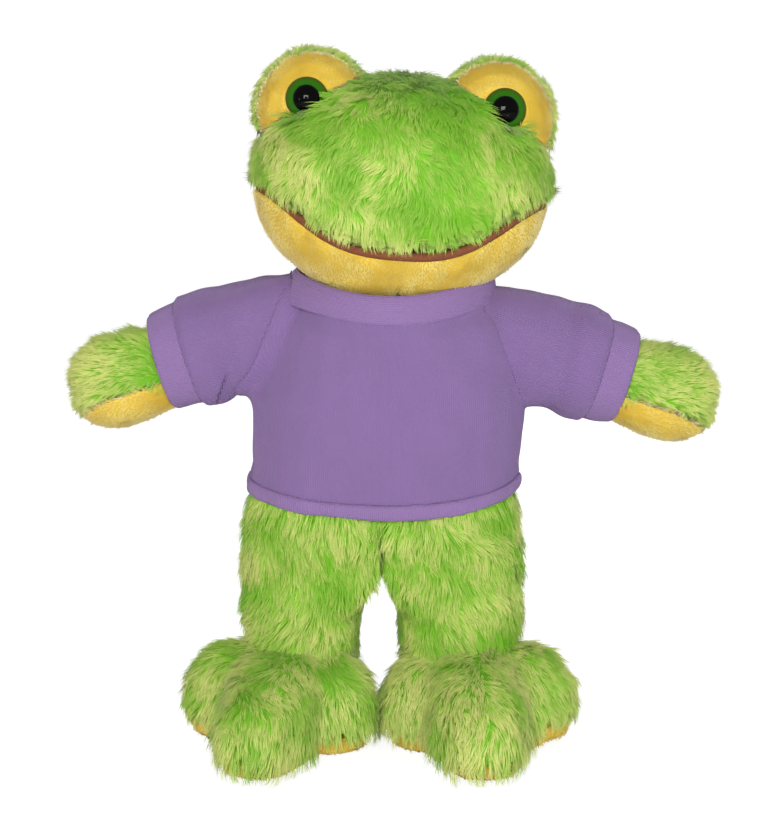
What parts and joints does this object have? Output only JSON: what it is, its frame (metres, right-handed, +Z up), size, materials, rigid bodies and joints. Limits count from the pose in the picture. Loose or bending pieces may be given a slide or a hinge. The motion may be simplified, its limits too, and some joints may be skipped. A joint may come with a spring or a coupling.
{
  "type": "plush frog in a knitted shirt",
  "caption": "Stuffed green frog in a purple raglan shirt, standing on its soles, whose head turns and whose arms and legs swing on stitched joints.",
  "frame": {"origin": "on the ground, below the middle of the whole toy's box", "axes": "+Z up, -Y the way the toy faces, +X the toy's own left"},
  "size_m": [0.3826, 0.1756, 0.4044],
  "materials": {
    "green_fur": "two-tone long-pile plush, matte",
    "yellow_velour": "short-pile velour, soft sheen",
    "brown_felt": "pressed felt, matte",
    "purple_knit": "fine jersey knit, matte",
    "purple_rib": "doubled ribbed knit, matte",
    "green_plastic": "polished moulded dome",
    "black_plastic": "polished moulded dome",
    "clear_plastic": "natural moulded lock washer"
  },
  "bodies": {
    "trunk": {"torso": "green_fur", "shirt_front": "purple_knit", "shirt_back": "purple_knit", "shirt_neckband": "purple_rib", "shirt_hem": "purple_rib"},
    "head": {"head_crown": "green_fur", "lower_jaw": "yellow_velour", "mouth_lining": "brown_felt", "left_eye": "green_plastic", "left_pupil": "black_plastic", "left_eye_washer": "clear_plastic", "left_eye_patch": "yellow_velour", "left_eye_mound": "green_fur", "right_eye": "green_plastic", "right_pupil": "black_plastic", "right_eye_washer": "clear_plastic", "right_eye_patch": "yellow_velour", "right_eye_mound": "green_fur"},
    "left_arm_body": {"left_arm": "green_fur", "left_palm": "yellow_velour", "left_sleeve": "purple_knit", "left_cuff": "purple_rib"},
    "left_leg_body": {"left_leg": "green_fur", "left_foot": "green_fur", "left_sole": "yellow_velour"},
    "right_arm_body": {"right_arm": "green_fur", "right_palm": "yellow_velour", "right_sleeve": "purple_knit", "right_cuff": "purple_rib"},
    "right_leg_body": {"right_leg": "green_fur", "right_foot": "green_fur", "right_sole": "yellow_velour"}
  },
  "joints": [
    {"name": "neck", "type": "hinge", "parent": "trunk", "child": "head", "pos_m": [0.00058, 0.01828, 0.2635], "axis": [0.0558, 0, 0.9984], "range_deg": [-20, 20], "deforming": ["shirt_neckband"]},
    {"name": "left_shoulder", "type": "hinge", "parent": "trunk", "child": "left_arm_body", "pos_m": [0.06774, 0.01828, 0.234], "axis": [0, -1, 0], "range_deg": [-16, 60], "deforming": ["left_sleeve"]},
    {"name": "right_shoulder", "type": "hinge", "parent": "trunk", "child": "right_arm_body", "pos_m": [-0.06774, 0.01828, 0.242], "axis": [0, 1, 0], "range_deg": [-16, 60], "deforming": ["right_sleeve"]},
    {"name": "left_hip", "type": "hinge", "parent": "trunk", "child": "left_leg_body", "pos_m": [0.03908, 0.01828, 0.1], "axis": [-1, 0, 0], "range_deg": [-10, 75]},
    {"name": "right_hip", "type": "hinge", "parent": "trunk", "child": "right_leg_body", "pos_m": [-0.05292, 0.01828, 0.1], "axis": [-1, 0, 0], "range_deg": [-10, 75]}
  ]
}
